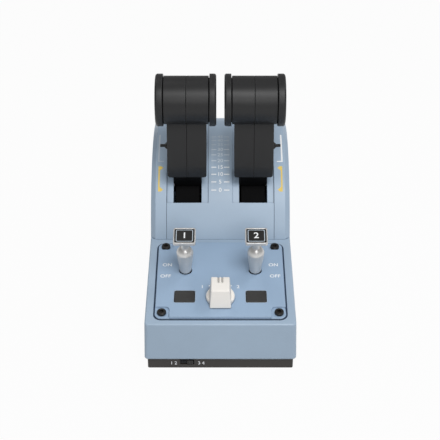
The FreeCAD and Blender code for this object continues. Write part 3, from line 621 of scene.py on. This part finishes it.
# %% Brackets
yellow_rows = [
    (45.0, 50.2, 52.6), (46.0, 48.4, 52.6), (47.6, 51.3, 52.6), (50.0, 51.3, 52.6), (52.3, 51.3, 52.6),
    (54.6, 51.3, 52.6), (57.0, 51.3, 52.6), (58.6, 48.4, 52.6), (59.6, 50.2, 52.6)]
white_rows = [(62.3, 48.2, 53.2), (62.9, 48.2, 53.2), (63.0, 51.9, 53.2)]
white_rows += [(angle, 51.9, 53.2) for angle in range(65, 84, 3)]
# Painted shade: the left white bracket takes the faint ink, for the shadow of the left lever over that cheek.
bracket_inks = {"left": faint_ink, "right": white_ink}
for side, sign in sides.items():
    for name, rows, material in (("yellow_bracket_", yellow_rows, yellow_ink),
                                 ("white_bracket_", white_rows, bracket_inks[side])):
        build = bmesh.new()
        ribbon(build, [(angle, sign * inner, sign * outer) for angle, inner, outer in rows], on_dome)
        finish_marks(name + side, build, "root", material)
print("brackets on both cheeks")

# %% [markdown]
# ## Marks on the panel
# The toggles are marked ON and OFF at their outer sides, the selector's positions have a dot and a
# figure, and the slide switch has its figures on the front of the tray.


# %% Panel marks
panel_size = 5.0
toggle_words = (("ON", 43.3, 65.8), ("OFF", 44.3, 52.4))
selector_figures = (("1", -14.5, -8.7), ("2", 14.2, 8.4))
figures_along = 39.8
dots_along = 41.1
dot_radius = 0.75


def on_plate(x, distance, height=0.0):
    """A point on the panel's plate, in mm."""
    return on_panel(x, distance, plate_top + height)


def dot_rows(x, distance, radius):
    """The rows of a round dot."""
    rows = []
    for angle in range(-80, 81, 20):
        half = radius * math.cos(math.radians(angle))
        rows.append((distance + radius * math.sin(math.radians(angle)), x - half, x + half))
    return rows


build = bmesh.new()
for sign in sides.values():
    for text, x, distance in toggle_words:
        figure(build, text, panel_size, on_plate(sign * x, distance), across, along, out_of_panel)
for text, x, dot_x in selector_figures:
    figure(build, text, panel_size, on_plate(x, figures_along), across, along, out_of_panel)
    ribbon(build, dot_rows(dot_x, dots_along, dot_radius), on_plate)
finish_marks("panel_marks", build, "root", white_ink)
print("panel marks, figures", panel_size, "mm")

# %% Tray marks
tray_size = 4.2
tray_figures = (("1 2", -37.0), ("3 4", -15.2))
tray_height = 5.4
up = Vector((0, 0, 1))
to_pilot = Vector((0, -1, 0))
build = bmesh.new()
for text, x in tray_figures:
    place = Vector((x * MM, tray_low.y, tray_height * MM))
    figure(build, text, tray_size, place, across, up, to_pilot)
finish_marks("tray_marks", build, "root", white_ink)
print("tray marks:", [text for text, x in tray_figures])

# %% [markdown]
# ## Painted shade round the plate
# The plate drops into a groove in the deck. A dark band at the groove's bottom is painted shade for the
# gap, and shows as a dark line round the plate.

# %% Painted shade in the groove
# Painted shade: a dark band at the bottom of the plate's groove, standing for the shade in the gap.
groove_shade = moulded("groove_shade_dark", (52, 66, 88), 0.8, grain=0.5, worn=0.0, specular=0.2, painted_shade=0.0)
groove_shade_box = (-51.3, 51.3, 6.1, 94.4)
groove_shade_corner = 4.9
groove_shade_width = 1.25
groove_shade_under = -1.55
groove_shade_over = -0.5
build = bmesh.new()
closed_band(build, groove_shade_box, groove_shade_corner, groove_shade_width, groove_shade_under, groove_shade_over, on_panel)
finish_marks("plate_groove_shade", build, "root", groove_shade)
print("seal round the plate")

# %% [markdown]
# ## Lips round the push buttons
# Each button's opening has a low moulded lip round the dark cap, paler than the panel: a painted highlight.

# %% Button lips
# Painted highlight: the lip's blue is paler than the panel's, for the light along its edge.
lip_highlight_blue = moulded("lip_highlight_plastic", (186, 203, 220), 0.34, worn=0.0, painted_shade=0.2)
button_x = 28.4
button_along = 28.6
lip_half_x = 8.35
lip_half_along = 6.85
lip_corner = 1.4
lip_width = 0.35
lip_height = 0.18
for side, sign in sides.items():
    build = bmesh.new()
    x = sign * button_x
    box = (x - lip_half_x, x + lip_half_x, button_along - lip_half_along, button_along + lip_half_along)
    closed_band(build, box, lip_corner, lip_width, ink_under, lip_height, on_plate)
    finish_marks("button_lip_" + side, build, "root", lip_highlight_blue)
print("button lips:", len(sides))

# %% [markdown]
# ## Legends on the toggles
# Each toggle carries a black plate sunk in its square head, with a thin pale frame line and a figure.
# The plate leans towards the pilot with the toggle, so the marks are set in the toggle's own axes.

# %% Toggle legends
toggle_x = 28.3
toggle_along = 59.4
toggle_top = 48.4
toggle_depth = -4.0
toggle_lean = 6.0
legend_size = 8.6
frame_box = (-6.2, 6.2, -5.8, 5.8)
frame_corner = 0.8
frame_width = 0.5
lean = math.radians(panel_slope + toggle_lean)
stem = Vector((0, -math.sin(lean), math.cos(lean)))
tile_up = Vector((0, math.cos(lean), math.sin(lean)))

for number, sign in (("1", -1), ("2", 1)):
    middle = on_panel(sign * toggle_x, toggle_along, toggle_depth) + stem * (toggle_top * MM)

    def on_tile(x, y, height=0.0):
        """A point on this toggle's black plate, in mm."""
        return middle + across * (x * MM) + tile_up * (y * MM) + stem * (height * MM)

    build = bmesh.new()
    figure(build, number, legend_size, on_tile(0, 0), across, tile_up, stem)
    finish_marks("toggle_figure_" + number, build, "toggle_lift_" + number, white_ink)
    build = bmesh.new()
    closed_band(build, frame_box, frame_corner, frame_width, ink_under, ink_over, on_tile)
    finish_marks("toggle_frame_" + number, build, "toggle_lift_" + number, faint_ink)
print("legends on both toggles")

# %% [markdown]
# ## Floor and light
# The object stands on a white floor. The camera and shiny things see the floor as nearly plain white,
# by a light path switch, and the rest of it is lit, so it still takes the object's shadow.

# %% White floor
floor_half = 6.0
floor_white = 0.96
floor_mesh = bpy.data.meshes.new("floor")
build = bmesh.new()
bmesh.ops.create_grid(build, x_segments=8, y_segments=8, size=floor_half)
build.to_mesh(floor_mesh)
build.free()
floor = bpy.data.objects.new("floor", floor_mesh)
scene.collection.objects.link(floor)
n = Nodes("white_sweep")
lit = n.add("BsdfDiffuse")
lit.inputs["Color"].default_value = (0.5, 0.5, 0.5, 1)
white = n.add("Emission")
white.inputs["Strength"].default_value = 1.0
path = n.add("LightPath")
seen = n.math("MAXIMUM", path.outputs["Is Camera Ray"], path.outputs["Is Glossy Ray"])
seen = n.math("MAXIMUM", seen, path.outputs["Is Transmission Ray"])
blend = n.add("MixShader")
n.link(n.math("MULTIPLY", seen, floor_white), blend.inputs[0])
n.link(lit.outputs[0], blend.inputs[1])
n.link(white.outputs[0], blend.inputs[2])
n.link(blend.outputs[0], n.out.inputs[0])
floor_mesh.materials.append(n.material)
print("floor", [round(v, 1) for v in floor.dimensions])

# %% [markdown]
# The world is white to the camera, and gives the object a weak even light from all round.

# %% World
world = bpy.data.worlds.new("studio")
scene.world = world
world.use_nodes = True
tree = world.node_tree
tree.nodes.clear()
out = tree.nodes.new("ShaderNodeOutputWorld")
soft = tree.nodes.new("ShaderNodeBackground")
soft.inputs["Color"].default_value = (1, 1, 1, 1)
soft.inputs["Strength"].default_value = 0.3
bright = tree.nodes.new("ShaderNodeBackground")
bright.inputs["Color"].default_value = (1, 1, 1, 1)
bright.inputs["Strength"].default_value = 1.0
path = tree.nodes.new("ShaderNodeLightPath")
choose = tree.nodes.new("ShaderNodeMixShader")
tree.links.new(path.outputs["Is Camera Ray"], choose.inputs[0])
tree.links.new(soft.outputs[0], choose.inputs[1])
tree.links.new(bright.outputs[0], choose.inputs[2])
tree.links.new(choose.outputs[0], out.inputs[0])
print("world strength", soft.inputs["Strength"].default_value)

# %% [markdown]
# ## Soft boxes
# A large key box stands above the pilot, slightly to the right, and a lower one in front fills under
# the toggles' heads. Two small ones behind, at the right and the left, throw soft shadows of the
# toggles towards the pilot.

# %% Soft boxes
light_aim = Vector((0, 0, 0.06))


def soft_box(name, place, width, height, power):
    """A rectangular lamp, in metres and watts, aimed at the object."""
    lamp = bpy.data.lights.new(name, "AREA")
    lamp.shape = "RECTANGLE"
    lamp.size = width
    lamp.size_y = height
    lamp.energy = power
    lamp_object = bpy.data.objects.new(name, lamp)
    lamp_object.location = place
    lamp_object.rotation_euler = (light_aim - Vector(place)).to_track_quat("-Z", "Y").to_euler()
    scene.collection.objects.link(lamp_object)


soft_box("key_box", (0.25, -0.75, 1.25), 0.6, 0.5, 9.0)
soft_box("low_box", (0.2, -1.3, 0.75), 0.6, 0.5, 4.0)
soft_box("side_box", (0.8, 0.35, 1.1), 0.4, 0.4, 2.4)
soft_box("rear_box", (-0.4, 0.45, 1.2), 0.4, 0.4, 1.3)
print("soft boxes:", [light.name for light in bpy.data.lights])

# %% [markdown]
# ## Camera
# A long lens looks down at 31 degrees along the box's length, from in front.

# %% Camera
camera_pitch = 31
camera_back = 0.71045
camera_height = 0.5655
lens = bpy.data.cameras.new("camera")
lens.lens = 92.66
lens.sensor_width = 36.0
camera = bpy.data.objects.new("camera", lens)
camera.location = (-0.0003, ridge.y - camera_back, camera_height)
camera.rotation_euler = (math.radians(90 - camera_pitch), 0, 0)
scene.collection.objects.link(camera)
scene.camera = camera
scene.view_settings.view_transform = "Standard"
print("camera at", [round(v, 3) for v in camera.location])
